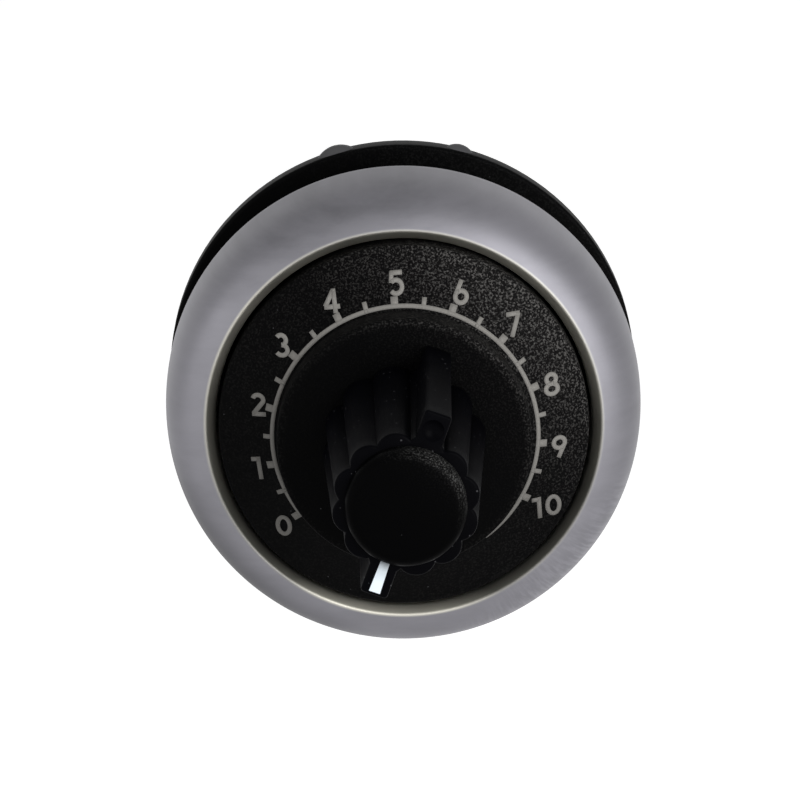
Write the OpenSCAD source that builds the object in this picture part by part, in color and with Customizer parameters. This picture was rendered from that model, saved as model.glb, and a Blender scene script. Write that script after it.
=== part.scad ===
// Panel potentiometer with a numbered dial and a fluted pointer knob, for a 22 mm hole.
// The origin is on the turning axis, in the plane of the panel's front face.
// The axis runs along Y: the front looks towards -Y and mark 5 of the dial points up, +Z.
// Each piece is drawn about Z with its front upwards and is then laid over by face_front().

/* [Bezel] */
// Wall of the bezel around the head's flange
bezel_wall = 1.6; // [1.2:0.1:2.2]
// Height of the bezel's lip above the panel
bezel_h = 7.5; // [7:0.1:8.5]
// How far below the lip the bezel's side starts to turn over
side_drop = 1.5; // [1.2:0.1:2.5]
// How far below the lip the shoulder lies
shoulder_drop = 0.75; // [0.5:0.05:1]
// How far inside the rim the shoulder lies
shoulder_in = 0.7; // [0.4:0.1:1.2]
// Width of the dome, from the rim to the lip
dome_w = 2.95; // [2.6:0.05:3.3]
// Radius of the lip's inner edge
lip_round = 0.4; // [0.2:0.05:0.6]

/* [Dial] */
// How far the dial's rim stands above the lip
dial_proud = 0.5; // [0.2:0.1:1]
// Height of the cone from the rim to the foot of the boss
dial_rise = 1.9; // [1:0.1:2.5]
// Width of the cone between the rim and the centre boss
cone_w = 3.65; // [3.2:0.05:4.2]
// Height of the centre boss
boss_h = 2.2; // [1.6:0.1:3]
// Wall of the dial plate
dial_wall = 1.2; // [0.9:0.1:1.5]

/* [Scale] */
// Sweep from the first mark to the last
scale_sweep = 245; // [200:5:300]
// Marks on the scale, small ones included
mark_count = 21; // [11:10:31]
// Gap between the boss and the printed arc
arc_gap = 0.25; // [0.15:0.05:0.4]
// Width of the printed arc
arc_w = 0.28; // [0.2:0.02:0.4]
// How far the marks reach past the arc
mark_reach = 0.42; // [0.3:0.02:0.6]
// Width of a numbered mark
major_w = 0.44; // [0.3:0.02:0.6]
// Width of a mark between numbers
minor_w = 0.26; // [0.16:0.02:0.3]
// Thickness of the print
print_t = 0.06; // [0.04:0.01:0.1]
// Gap between the arc and the marks
print_gap = 0.02; // [0.02:0.01:0.06]
// How far the arc runs on past the last mark
arc_tail = 25; // [0:1:40]

/* [Knob] */
// Direction of the pointer at rest, counter-clockwise from the right
pointer_at = 246; // [200:1:250]
// Angle that the knob turns through, stop to stop
travel = 300; // [270:5:310]
// Height of the knob without its cap
knob_h = 13.3; // [12:0.1:15]
// Diameter of the knob at the dial
knob_base_d = 10; // [9.6:0.1:11]
// Diameter of the knob at the front
knob_front_d = 8.7; // [8.5:0.1:9.5]
// Grip lobes around the knob
lobe_count = 12; // [8:2:16]
// Depth of the valleys between the lobes, at the dial
valley_depth = 0.5; // [0.3:0.02:0.55]
// Width of the pointer nose and of the rib opposite
nose_w = 1.65; // [1.4:0.05:1.9]
// Reach of the nose from the axis, at the dial
nose_base = 6.35; // [6.1:0.05:6.8]
// Reach of the nose from the axis, at the front
nose_front = 5.8; // [5.6:0.05:6]
// Diameter of the dimple in the front of the rib
dimple_d = 1.2; // [0.6:0.1:1.2]
// Distance of the dimple from the axis
dimple_at = 4.72; // [4.5:0.02:4.9]
// Width of the white line on the nose
line_w = 0.6; // [0.4:0.05:0.8]
// Depth of the white line
line_depth = 0.4; // [0.2:0.1:0.6]
// Diameter of the cap
cap_d = 7.3; // [7:0.1:7.5]
// Height of the cap above the knob
cap_h = 1.1; // [0.8:0.1:1.5]
// Radius of the cap's rounded edge
cap_round = 0.7; // [0.4:0.1:0.8]

/* [Shaft] */
// Diameter of the shaft
shaft_d = 4; // [3.6:0.1:4.1]
// Outside diameter of the threaded bushing
bushing_d = 7; // [6.8:0.1:7.2]
// How far the bushing stands above the bulkhead
bushing_h = 3.6; // [3.4:0.1:3.8]
// Width across the flats of the bushing nut
nut_af = 10; // [9:0.5:10.5]
// Thickness of the bushing nut
nut_t = 2; // [1.5:0.1:2.4]
// Thickness of the toothed lock washer
washer_t = 0.5; // [0.4:0.1:0.7]

/* [Head] */
// Diameter over the thread of the barrel
barrel_d = 21.8; // [21.4:0.1:22]
// Wall of the barrel
barrel_wall = 1.7; // [1.4:0.1:2]
// Length of the barrel behind the panel
barrel_l = 17; // [16:0.5:20]
// Thickness of the flange in front of the panel
flange_t = 2.4; // [2:0.1:2.6]
// How far the flange stands out from the barrel
flange_step = 2.4; // [2:0.1:3]
// Width of the seat under the dial's rim
seat_w = 1.7; // [1.4:0.1:2.2]
// Thickness of the bulkhead that carries the bushing
bulkhead_t = 2; // [1.6:0.1:2.2]
// Thickness of the panel seal
seal_t = 0.8; // [0.6:0.1:1]
// How far the seal stays inside the bezel's rim
seal_in = 0.9; // [0.6:0.1:1.4]
// Width of the key that fits the notch of the panel
key_w = 3; // [2.6:0.1:3]
// How far the key stands out from the barrel
key_h = 1.8; // [1.4:0.1:2]
// Length of the key behind the panel's face
key_l = 1; // [0.8:0.1:1.2]

/* [Ring nut] */
// Space between the panel seal and the ring nut
clamp_gap = 5.25; // [4.5:0.05:6]
// How far the ring nut's flange stands out from its collar
ring_step = 1.8; // [1.4:0.1:2.2]
// Thickness of the ring nut's flange
ring_flange_t = 1.7; // [1.4:0.1:2.2]
// Wall of the castellated collar around the barrel
collar_wall = 2.25; // [1.6:0.05:2.6]
// Length of the castellated collar
collar_l = 3.6; // [3:0.1:5]
// Slots in the collar for the spanner
slot_count = 8; // [6:1:12]
// Height of the grip lugs on the flange
lug_h = 0.4; // [0.2:0.05:0.5]
// Angle of the grip lugs on each side of the top and the bottom
lug_at = 15.5; // [12:0.5:24]

/* [Resistance element] */
// Radial gap between the barrel and the element's case
case_gap = 0.3; // [0.2:0.05:0.5]
// Length of the element's case
case_l = 8.4; // [8.2:0.1:9]
// Wall of the element's case
case_wall = 0.5; // [0.4:0.1:0.6]
// Thickness of the resistance disc
disc_t = 1.2; // [1:0.1:1.6]
// Distance of the track's middle from the carrier's edge
track_in = 1.7; // [1.5:0.1:1.9]
// Width of the resistance track
track_w = 1.6; // [1.2:0.1:1.8]
// Height of the stop lug on the wiper carrier
stop_h = 1; // [0.8:0.1:1.2]
// Thickness of the wiper carrier
carrier_t = 1.9; // [1.6:0.1:2]

/* [Terminals] */
// How far the terminal block stays inside the barrel's thread
block_in = 0.8; // [0.6:0.1:1]
// Length of the terminal block behind the barrel
block_l = 9.5; // [9:0.5:11]
// Wall between two channels
web = 0.8; // [0.7:0.05:1.1]
// Wall outside the outer channels
edge_wall = 1.76; // [1.6:0.02:2]
// Depth of the channels that the wires lie in
channel_depth = 3.5; // [3.2:0.1:4]
// Width of a lead strip
lead_w = 2; // [1.6:0.1:2.2]
// Thickness of a lead strip
lead_t = 0.5; // [0.4:0.05:0.6]
// Diameter of a clamp screw's shank
screw_d = 2.5; // [2:0.1:2.5]
// Wall of the threaded insert around the screw
insert_wall = 0.65; // [0.5:0.05:0.8]

/* [Fits] */
// Gap around the dial inside the bezel
dial_gap = 0.15; // [0.1:0.05:0.3]
// Gap under the knob
knob_gap = 0.3; // [0.2:0.1:0.6]
// Radial clearance of the turning shaft
running_fit = 0.03; // [0.02:0.01:0.08]
// Radial clearance between pieces that are fixed together
seat_fit = 0.05; // [0.02:0.01:0.1]
// Axial play of the turning pieces
end_play = 0.1; // [0.05:0.05:0.2]

/* [Hidden] */
$fn = 64;
// Overlap that keeps a cut from ending on a face
cut = 0.5;

// Heights above the panel's face
seat_z = bezel_h - 1.1;
rim_z = bezel_h + dial_proud;
foot_z = rim_z + dial_rise;
boss_z = foot_z + boss_h;
knob_z = boss_z + knob_gap;
front_z = knob_z + knob_h;
flange_z = seal_t + flange_t;
bulkhead_z = flange_z + bulkhead_t;
bushing_z = bulkhead_z + bushing_h;
block_z = -barrel_l - block_l;
floor_z = block_z + channel_depth;

// Radii from the barrel outwards to the bezel, and from its opening inwards to the boss
barrel_r = barrel_d / 2;
flange_r = barrel_r + flange_step;
skirt_r = flange_r + seat_fit;
bezel_r = skirt_r + bezel_wall;
lip_r = bezel_r - dome_w;
opening_r = lip_r - lip_round;
dial_r = opening_r - dial_gap;
neck_r = dial_r - dial_gap;
boss_r = dial_r - cone_w;
arc_r = boss_r + arc_gap;
key_reach = barrel_r + key_h;
collar_r = barrel_r + seat_fit + collar_wall;
ring_r = collar_r + ring_step;
bushing_r = bushing_d / 2;
shaft_r = shaft_d / 2;
cavity_r = nut_af / sqrt(3) + 0.5;
cone_slope = dial_rise / (dial_r - boss_r);
tray_r = neck_r - seat_w;

// Resistance element: its case hangs behind the bulkhead
case_z = flange_z - case_l;
barrel_bore_r = barrel_r - barrel_wall;
case_r = barrel_bore_r - case_gap;
case_bore_r = case_r - case_wall;
carrier_r = case_bore_r - stop_h;
stop_gap = 0.2;
track_r = carrier_r - track_in;
case_front = 1;
bushing_flange_t = 0.8;
bushing_flange_r = bushing_r + 1.5;
bushing_back_z = flange_z - case_front - bushing_flange_t;
shoulder_t = 0.8;
shoulder_z = bushing_back_z - end_play - shoulder_t;
carrier_z = shoulder_z - carrier_t;
disc_z = case_z + 0.2;
track_t = 0.1;
track_z = disc_z + disc_t;
wiper_t = 0.2;
contact_gap = 0.05;

// The carrier's lug turns between the two sides of a tab on the case
dead_angle = 360 - travel;
tab_angle = dead_angle * 0.58;
lug_angle = dead_angle - tab_angle - 0.5;
tab_at = pointer_at + dead_angle / 2;

// Clip, collet and cap
clip_t = 0.4;
clip_z = bushing_z + end_play;
clip_r = shaft_r + 1;
seal_cord = 1.4;
seal_pocket_r = shaft_r + seal_cord + 2 * seat_fit;
roof_z = boss_z - dial_wall;
pocket_depth = 3.4;
pocket_r = cap_d / 2 - 0.35;
collet_r = shaft_r + 1;
plug_h = 1.2;
shaft_top = front_z - pocket_depth - 0.4;

// Terminals: the pitch is what the block's width leaves beside its walls
foot_t = 0.8;
foot_back = 1.6;
channel_back = 1;
block_r = barrel_r - block_in;
spigot_r = barrel_bore_r - seat_fit;
half_width = sqrt(pow(block_r, 2) - pow(foot_back + channel_back, 2));
pitch = (half_width - edge_wall + web / 2) / 1.5;
channel_w = pitch - web;
head_gap = 0.3;
foot_w = channel_w - 2 * head_gap;
screw_head_d = channel_w - 2 * head_gap;
lead_edge = 0.46;
lead_y = lead_t / 2 - sqrt(pow(spigot_r - lead_edge, 2) - pow(pitch + lead_w / 2, 2));
lead_x = [-pitch, 0, pitch];
lead_jog = 0.4;
disc_lead_x = [lead_jog - pitch, 0, pitch - lead_jog];
screw_y = -1.7;
plate_t = 0.7;
head_t = 1.5;
insert_r = screw_d / 2 + insert_wall;
insert_l = 4.2;
spigot_l = 5;

function bezier(a, b, c, d, t) =
    pow(1 - t, 3) * a + 3 * t * pow(1 - t, 2) * b + 3 * t * t * (1 - t) * c + pow(t, 3) * d;
function cone_z(r) = foot_z - (r - boss_r) * cone_slope;

// Lays a piece over, so that its front looks towards -Y
module face_front() {
    rotate([90, 0, 0]) children();
}

module ring(r_out, r_in, z0, z1) {
    translate([0, 0, z0]) difference() {
        cylinder(h = z1 - z0, r = r_out);
        translate([0, 0, -cut]) cylinder(h = z1 - z0 + 2 * cut, r = r_in);
    }
}

// Part of a ring, centred on the angle at
module sector(r_out, r_in, z0, z1, at, wide) {
    rotate([0, 0, at - wide / 2]) rotate_extrude(angle = wide)
        translate([r_in, z0]) square([r_out - r_in, z1 - z0]);
}

// A bar from r0 to r1 along the direction at
module bar(r0, r1, w, z0, z1, at) {
    rotate([0, 0, at]) translate([r0, -w / 2, z0]) cube([r1 - r0, w, z1 - z0]);
}

// Turned and snapped over the head; its dome falls from the lip to the panel
module bezel() {
    r = bezel_r;
    crown = [for (i = [0:20]) bezier([r, seal_t + 0.6], [r, bezel_h - side_drop],
                                     [r - shoulder_in, bezel_h - shoulder_drop],
                                     [lip_r + 0.12, bezel_h], i / 20)];
    lip = [for (a = [90:15:180]) [lip_r + lip_round * cos(a),
                                  bezel_h - lip_round + lip_round * sin(a)]];
    color("silver") face_front() rotate_extrude() polygon(concat(
        [[skirt_r, seal_t], [r - 0.2, seal_t], [r, seal_t + 0.2]], crown, lip,
        [[opening_r, flange_z + 2.4], [skirt_r, flange_z + 1.1]]));
}

// One moulding: the cone that carries the scale, the centre boss and the seal's pocket
module dial_plate() {
    edge = 0.2;
    under_r = cavity_r + 0.4;
    color("dimgray") face_front() rotate_extrude() polygon([
        [shaft_r + 0.3, boss_z], [boss_r - edge - 0.1, boss_z], [boss_r - 0.1, boss_z - edge],
        [boss_r, foot_z], [dial_r - edge, cone_z(dial_r - edge)], [dial_r, rim_z - edge],
        [dial_r, seat_z], [tray_r + 0.2, seat_z], [tray_r + 0.2, rim_z - dial_wall],
        [under_r, cone_z(under_r) - dial_wall], [under_r, roof_z], [seal_pocket_r + 1.2, roof_z],
        [seal_pocket_r + 1.2, clip_z + clip_t + 0.1], [seal_pocket_r, clip_z + clip_t + 0.1],
        [seal_pocket_r, roof_z], [shaft_r + 0.3, roof_z]]);
}

// Print that follows the cone, from r0 to r1 and centred on the angle at
module printed(r0, r1, at, wide) {
    rotate([0, 0, at - wide / 2]) rotate_extrude(angle = wide) polygon([
        [r0, cone_z(r0)], [r1, cone_z(r1)],
        [r1, cone_z(r1) + print_t], [r0, cone_z(r0) + print_t]]);
}

module scale_print() {
    r0 = arc_r;
    r1 = r0 + arc_w;
    step = scale_sweep / (mark_count - 1);
    color("gainsboro") face_front() {
        printed(r0, r1, 90 - arc_tail / 2, scale_sweep + arc_tail + degrees_of(major_w, r1));
        for (i = [0:mark_count - 1]) {
            w = degrees_of(i % 2 == 0 ? major_w : minor_w, r1);
            printed(r1 + print_gap, r1 + mark_reach, 90 + scale_sweep / 2 - i * step, w);
        }
    }
}
function degrees_of(w, r) = w / r * 180 / PI;

// One moulding: the threaded barrel, the flange, the bulkhead and the seat of the dial
module head_body() {
    color("#2a2a2c") face_front() {
        rotate_extrude() polygon([
            [bushing_r + seat_fit, flange_z], [bushing_r + seat_fit, bulkhead_z],
            [tray_r, bulkhead_z], [tray_r, seat_z], [neck_r, seat_z], [neck_r, flange_z],
            [flange_r, flange_z], [flange_r, seal_t], [barrel_r, seal_t],
            [barrel_r, -barrel_l + 0.5], [barrel_r - 0.5, -barrel_l],
            [barrel_bore_r, -barrel_l], [barrel_bore_r, flange_z]]);
        translate([-key_w / 2, barrel_r - cut, -key_l])
            cube([key_w, key_h + cut, key_l + seal_t + cut]);
    }
}

// Washer with a notch for the head's key
module panel_seal() {
    color("#1c1c1c") face_front() difference() {
        ring(bezel_r - seal_in, barrel_r + 0.2, 0, seal_t);
        translate([-key_w / 2 - 0.1, 0, -cut]) cube([key_w + 0.2, key_reach + 0.1, seal_t + 2 * cut]);
    }
}

// Flange with two pairs of grip lugs, and a collar slotted for a spanner
module ring_nut() {
    z0 = -clamp_gap;
    z1 = z0 - ring_flange_t;
    z2 = z1 - collar_l;
    lug_wide = 7;
    color("#3a3a3c") face_front() difference() {
        union() {
            translate([0, 0, z1]) cylinder(h = ring_flange_t, r = ring_r);
            for (at = [90, 270], side = [-1, 1])
                sector(ring_r + lug_h, ring_r - 1, z1 + 0.2, z0 - 0.3, at + side * lug_at, lug_wide);
            translate([0, 0, z2]) cylinder(h = collar_l + cut, r = collar_r);
        }
        translate([0, 0, z2 - cut])
            cylinder(h = collar_l + ring_flange_t + 2 * cut, r = barrel_r + seat_fit);
        for (i = [0:slot_count - 1])
            bar(collar_r - 1, collar_r + cut, 2.4, z2 - cut, z1 - 0.4, i * 360 / slot_count);
    }
}

module bushing() {
    color("goldenrod") face_front() difference() {
        union() {
            translate([0, 0, bushing_back_z]) cylinder(h = bushing_flange_t, r = bushing_flange_r);
            translate([0, 0, bushing_back_z])
                cylinder(h = bushing_z - bushing_back_z - 0.3, r = bushing_r);
            translate([0, 0, bushing_z - 0.3]) cylinder(h = 0.3, r1 = bushing_r, r2 = bushing_r - 0.3);
        }
        translate([0, 0, bushing_back_z - cut])
            cylinder(h = bushing_z - bushing_back_z + 2 * cut, r = shaft_r + running_fit);
    }
}

module lock_washer() {
    r = bushing_r + 1.5;
    color("silver") face_front() {
        ring(r, bushing_r + seat_fit, bulkhead_z, bulkhead_z + washer_t);
        for (i = [0:11]) bar(r - 0.2, r + 0.5, 0.7, bulkhead_z, bulkhead_z + washer_t, i * 30);
    }
}

module bushing_nut() {
    z0 = bulkhead_z + washer_t;
    color("silver") face_front() translate([0, 0, z0]) difference() {
        intersection() {
            cylinder(h = nut_t, r = nut_af / sqrt(3), $fn = 6);
            cylinder(h = nut_t, r1 = nut_af / sqrt(3) + 0.4, r2 = nut_af / 2 + 0.2);
        }
        translate([0, 0, -cut]) cylinder(h = nut_t + 2 * cut, r = bushing_r + seat_fit);
    }
}

module shaft_seal() {
    color("#202020") face_front() rotate_extrude()
        translate([shaft_r + running_fit + seal_cord / 2, roof_z - seal_cord / 2])
        circle(d = seal_cord, $fn = 32);
}

// Deep-drawn cup whose inner tab stops the carrier's lug
module element_case() {
    color("lightgray") face_front() {
        difference() {
            translate([0, 0, case_z]) cylinder(h = case_l, r = case_r);
            translate([0, 0, case_z - cut]) cylinder(h = case_l - case_front + cut, r = case_bore_r);
            translate([0, 0, case_z]) cylinder(h = case_l + cut, r = bushing_r + seat_fit);
        }
        sector(case_bore_r + case_wall / 2, carrier_r + stop_gap,
               carrier_z + 0.3, flange_z - case_front + cut / 2, tab_at, tab_angle);
    }
}

module resistance_disc() {
    color("saddlebrown") face_front() difference() {
        translate([0, 0, disc_z]) cylinder(h = disc_t, r = case_bore_r - seat_fit);
        for (x = disc_lead_x)
            translate([x, lead_y, disc_z - cut]) cylinder(h = disc_t + 2 * cut, r = 0.45, $fn = 24);
    }
}

module resistance_track() {
    color("#181818") face_front()
        sector(track_r + track_w / 2, track_r - track_w / 2, track_z, track_z + track_t,
               tab_at + 180, 360 - dead_angle * 0.9);
}

module collector_ring() {
    color("silver") face_front() ring(shaft_r + 1.7, shaft_r + 0.7, track_z, track_z + track_t);
}

// Hollow rivets that join the leads to the disc
module terminal_rivets() {
    color("gold") face_front() for (x = disc_lead_x) translate([x, lead_y, 0]) {
        translate([0, 0, disc_z]) cylinder(h = disc_t, r = 0.4, $fn = 24);
        translate([0, 0, track_z]) cylinder(h = 0.2, r = 0.6, $fn = 24);
    }
}

// A strip from the disc back to a foot on the channel's floor, under the clamp plate
module lead(i) {
    x0 = disc_lead_x[i];
    x1 = lead_x[i];
    mid_z = -barrel_l + spigot_l + 1.5;
    color("gold") face_front() {
        translate([min(x0, x1) - lead_w / 2, lead_y - lead_t / 2, mid_z])
            cube([abs(x1 - x0) + lead_w, lead_t, lead_t * 2]);
        translate([x0 - lead_w / 2, lead_y - lead_t / 2, mid_z])
            cube([lead_w, lead_t, disc_z - mid_z]);
        translate([x1 - lead_w / 2, lead_y - lead_t / 2, floor_z - foot_t])
            cube([lead_w, lead_t, mid_z - floor_z + foot_t]);
        difference() {
            translate([x1 - foot_w / 2, lead_y - lead_t / 2, floor_z - foot_t])
                cube([foot_w, foot_back - lead_y, foot_t]);
            translate([x1, screw_y, floor_z - foot_t - cut])
                cylinder(h = foot_t + 2 * cut, r = screw_d / 2 + 0.1);
        }
    }
}

// Moulding that plugs into the barrel, with three open channels across its back
module terminal_block() {
    color("#333336") face_front() difference() {
        union() {
            translate([0, 0, block_z + 0.4]) cylinder(h = block_l - 0.4, r = block_r);
            translate([0, 0, block_z]) cylinder(h = 0.4, r1 = block_r - 0.4, r2 = block_r);
            translate([0, 0, -barrel_l]) cylinder(h = spigot_l, r = spigot_r);
        }
        for (x = lead_x) {
            translate([x - channel_w / 2, -2 * block_r, block_z - cut])
                cube([channel_w, 2 * block_r + foot_back + channel_back, channel_depth + cut]);
            translate([x, screw_y, floor_z - cut])
                cylinder(h = insert_l + cut, r = insert_r + seat_fit);
            translate([x - lead_w / 2 - 0.15, lead_y - lead_t / 2 - 0.15, floor_z - cut])
                cube([lead_w + 0.3, lead_t + 0.3, block_l + spigot_l]);
        }
    }
}

module terminal_inserts() {
    color("goldenrod") face_front() for (x = lead_x) translate([x, screw_y, floor_z])
        difference() {
            cylinder(h = insert_l, r = insert_r);
            translate([0, 0, -cut]) cylinder(h = insert_l, r = screw_d / 2 + 0.02);
        }
}

module clamp_plates() {
    color("silver") face_front() for (x = lead_x)
        translate([x, screw_y, floor_z - foot_t - plate_t]) difference() {
            translate([-foot_w / 2, -foot_w / 2, 0]) cube([foot_w, foot_w, plate_t]);
            translate([0, 0, -cut]) cylinder(h = plate_t + 2 * cut, r = screw_d / 2 + 0.1);
        }
}

module terminal_screws() {
    head_z = floor_z - foot_t - plate_t - head_t;
    color("silver") face_front() for (x = lead_x) translate([x, screw_y, head_z])
        difference() {
            union() {
                translate([0, 0, 0.3]) cylinder(h = head_t - 0.3, r = screw_head_d / 2);
                cylinder(h = 0.3, r1 = screw_head_d / 2 - 0.3, r2 = screw_head_d / 2);
                cylinder(h = head_t + plate_t + foot_t + insert_l - 1, r = screw_d / 2);
            }
            translate([-screw_head_d, -0.3, -cut]) cube([2 * screw_head_d, 0.6, cut + 0.8]);
        }
}

module shaft() {
    color("lightsteelblue") face_front() difference() {
        union() {
            translate([0, 0, carrier_z]) cylinder(h = shaft_top - 0.3 - carrier_z, r = shaft_r);
            translate([0, 0, shaft_top - 0.3]) cylinder(h = 0.3, r1 = shaft_r, r2 = shaft_r - 0.3);
            translate([0, 0, shoulder_z]) cylinder(h = shoulder_t, r = bushing_r - 0.3);
        }
        ring(shaft_r + cut, shaft_r - 0.4, clip_z, clip_z + clip_t);
    }
}

module retaining_clip() {
    color("dimgray") face_front() difference() {
        ring(clip_r, shaft_r - 0.4 + seat_fit, clip_z, clip_z + clip_t - 0.02);
        bar(0, clip_r + cut, 1.8, clip_z - cut, clip_z + clip_t + cut, pointer_at);
    }
}

module wiper_carrier() {
    z1 = carrier_z + carrier_t;
    color("ivory") face_front() difference() {
        union() {
            translate([0, 0, carrier_z]) cylinder(h = carrier_t, r = carrier_r);
            sector(case_bore_r - stop_gap, carrier_r - cut, carrier_z + 0.3, z1, pointer_at,
                   lug_angle);
        }
        translate([0, 0, carrier_z - cut])
            cylinder(h = carrier_t + 2 * cut, r = shaft_r + seat_fit);
    }
}

// A spring arm that slopes back from the carrier to a contact at radius r
module contact_arm(r, w) {
    z0 = carrier_z;
    z1 = track_z + track_t + contact_gap;
    drop = z0 - z1;
    translate([r - w / 2, 0, 0]) rotate([90, 0, 90]) linear_extrude(height = w) polygon([
        [-drop * 1.6, z0 - wiper_t], [-drop * 1.6, z0], [-drop * 1.4, z0],
        [-0.25, z1 + wiper_t + 0.1], [0, z1 + wiper_t], [0.35, z1 + wiper_t + 0.3],
        [0.5, z1 + wiper_t + 0.15], [0.1, z1], [-0.1, z1], [-0.4, z1 + 0.1]]);
}

// Spring-metal contact: it bridges the track and the collector ring
module wiper() {
    inner_r = shaft_r + 1.2;
    color("khaki") face_front() rotate([0, 0, pointer_at]) {
        contact_arm(track_r, 0.8);
        contact_arm(inner_r, 0.6);
        translate([inner_r - 0.6, -(carrier_z - track_z) * 1.6 - 1.2, carrier_z - wiper_t])
            cube([track_r - inner_r + 1.2, 1.6, wiper_t]);
    }
}

// The bar through the knob: the pointer's nose on one side and the rib on the other
module nose_bar() {
    intersection() {
        translate([0, 0, knob_z]) cylinder(h = knob_h, r1 = nose_base, r2 = nose_front, $fn = 128);
        bar(-nose_base - cut, nose_base + cut, nose_w, knob_z - cut, front_z + cut, pointer_at);
    }
}

// Scalloped outline: each lobe is an arc, and two arcs meet in a valley
module lobes(r) {
    half = 180 / lobe_count;
    valley = r - valley_depth;
    centre = (r * r - valley * valley) / (2 * (r - valley * cos(half)));
    circle(r = valley);
    for (i = [0:lobe_count - 1])
        rotate([0, 0, pointer_at + i * 360 / lobe_count])
            translate([centre, 0, 0]) circle(r = r - centre, $fn = 48);
}

// Drafted grip with convex lobes, hollow for the collet, its nut and the cap's plug
module knob_body() {
    color("#262628") face_front() difference() {
        union() {
            translate([0, 0, knob_z])
                linear_extrude(height = knob_h, scale = knob_front_d / knob_base_d)
                lobes(knob_base_d / 2);
            nose_bar();
        }
        translate([0, 0, knob_z - cut])
            cylinder(h = knob_h + 2 * cut, r = collet_r + seat_fit);
        translate([0, 0, front_z - pocket_depth]) cylinder(h = pocket_depth + cut, r = pocket_r);
        bar(cap_d / 2, nose_front + cut, line_w, front_z - line_depth, front_z + cut, pointer_at);
        rotate([0, 0, pointer_at + 180]) translate([dimple_at, 0, front_z - 0.3])
            cylinder(h = 0.3 + cut, r = dimple_d / 2, $fn = 32);
    }
}

// Split brass sleeve that grips the shaft when its nut is tightened
module collet() {
    z0 = knob_z + 1.5;
    z1 = front_z - pocket_depth;
    color("goldenrod") face_front() difference() {
        ring(collet_r, shaft_r + seat_fit / 2, z0, z1);
        for (at = [0, 60, 120])
            bar(-collet_r - cut, collet_r + cut, 0.4, z0 - cut, z0 + 4, pointer_at + at);
    }
}

module collet_nut() {
    z0 = front_z - pocket_depth;
    t = pocket_depth - plug_h - 0.3;
    color("goldenrod") face_front() difference() {
        translate([0, 0, z0]) cylinder(h = t, r = pocket_r - seat_fit);
        translate([0, 0, z0 - cut]) cylinder(h = cut + 0.8, r = shaft_r);
        bar(-pocket_r - cut, pocket_r + cut, 0.8, z0 + t - 0.7, z0 + t + cut, pointer_at);
    }
}

module knob_cap() {
    r = cap_d / 2;
    arc = [for (a = [0:15:90]) [r - cap_round + cap_round * cos(a),
                                front_z + cap_h - cap_round + cap_round * sin(a)]];
    color("#232325") face_front() rotate_extrude() polygon(concat(
        [[0, front_z - plug_h], [pocket_r - seat_fit, front_z - plug_h],
         [pocket_r - seat_fit, front_z], [r, front_z]], arc, [[0, front_z + cap_h]]));
}

// White inlay, flush with the front of the nose
module pointer_line() {
    color("white") face_front() intersection() {
        bar(cap_d / 2, nose_front + cut, line_w, front_z - line_depth, front_z, pointer_at);
        translate([0, 0, knob_z]) cylinder(h = knob_h, r1 = nose_base, r2 = nose_front, $fn = 128);
    }
}

bezel();
dial_plate();
scale_print();
head_body();
panel_seal();
ring_nut();
bushing();
bushing_nut();
lock_washer();
shaft_seal();
element_case();
resistance_disc();
resistance_track();
collector_ring();
terminal_rivets();
lead(0);  // lead_start
lead(1);  // lead_wiper
lead(2);  // lead_end
terminal_block();
terminal_inserts();
clamp_plates();
terminal_screws();
shaft();
retaining_clip();
wiper_carrier();
wiper();
knob_body();
collet();
collet_nut();
knob_cap();
pointer_line();
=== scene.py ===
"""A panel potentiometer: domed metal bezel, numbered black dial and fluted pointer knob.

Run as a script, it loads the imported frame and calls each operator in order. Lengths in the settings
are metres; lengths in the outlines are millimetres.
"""

import math

import bpy
from bpy.props import FloatProperty, FloatVectorProperty, IntProperty, PointerProperty
from mathutils import Matrix, Vector


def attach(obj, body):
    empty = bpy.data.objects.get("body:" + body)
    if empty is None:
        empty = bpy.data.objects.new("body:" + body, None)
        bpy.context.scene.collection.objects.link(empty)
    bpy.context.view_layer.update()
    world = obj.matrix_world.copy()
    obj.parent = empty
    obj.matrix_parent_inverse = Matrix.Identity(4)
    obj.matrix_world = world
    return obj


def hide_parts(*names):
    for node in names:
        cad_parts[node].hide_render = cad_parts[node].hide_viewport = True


bl_info = {
    "name": "Panel potentiometer",
    "version": (1, 0, 0),
    "blender": (4, 5, 0),
    "location": "View3D > Sidebar > Potentiometer",
    "description": "Builds a panel potentiometer with its dial and knob around a packed frame",
    "category": "Object",
}

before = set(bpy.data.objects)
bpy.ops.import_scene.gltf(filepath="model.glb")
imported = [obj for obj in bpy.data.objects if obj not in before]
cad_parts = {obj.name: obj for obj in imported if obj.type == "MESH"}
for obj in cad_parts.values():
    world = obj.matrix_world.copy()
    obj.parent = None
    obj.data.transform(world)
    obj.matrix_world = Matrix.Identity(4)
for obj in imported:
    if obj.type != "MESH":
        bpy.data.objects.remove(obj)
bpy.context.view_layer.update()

MM = 0.001
HEAD = "head"
ROTOR = "rotor"

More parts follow.
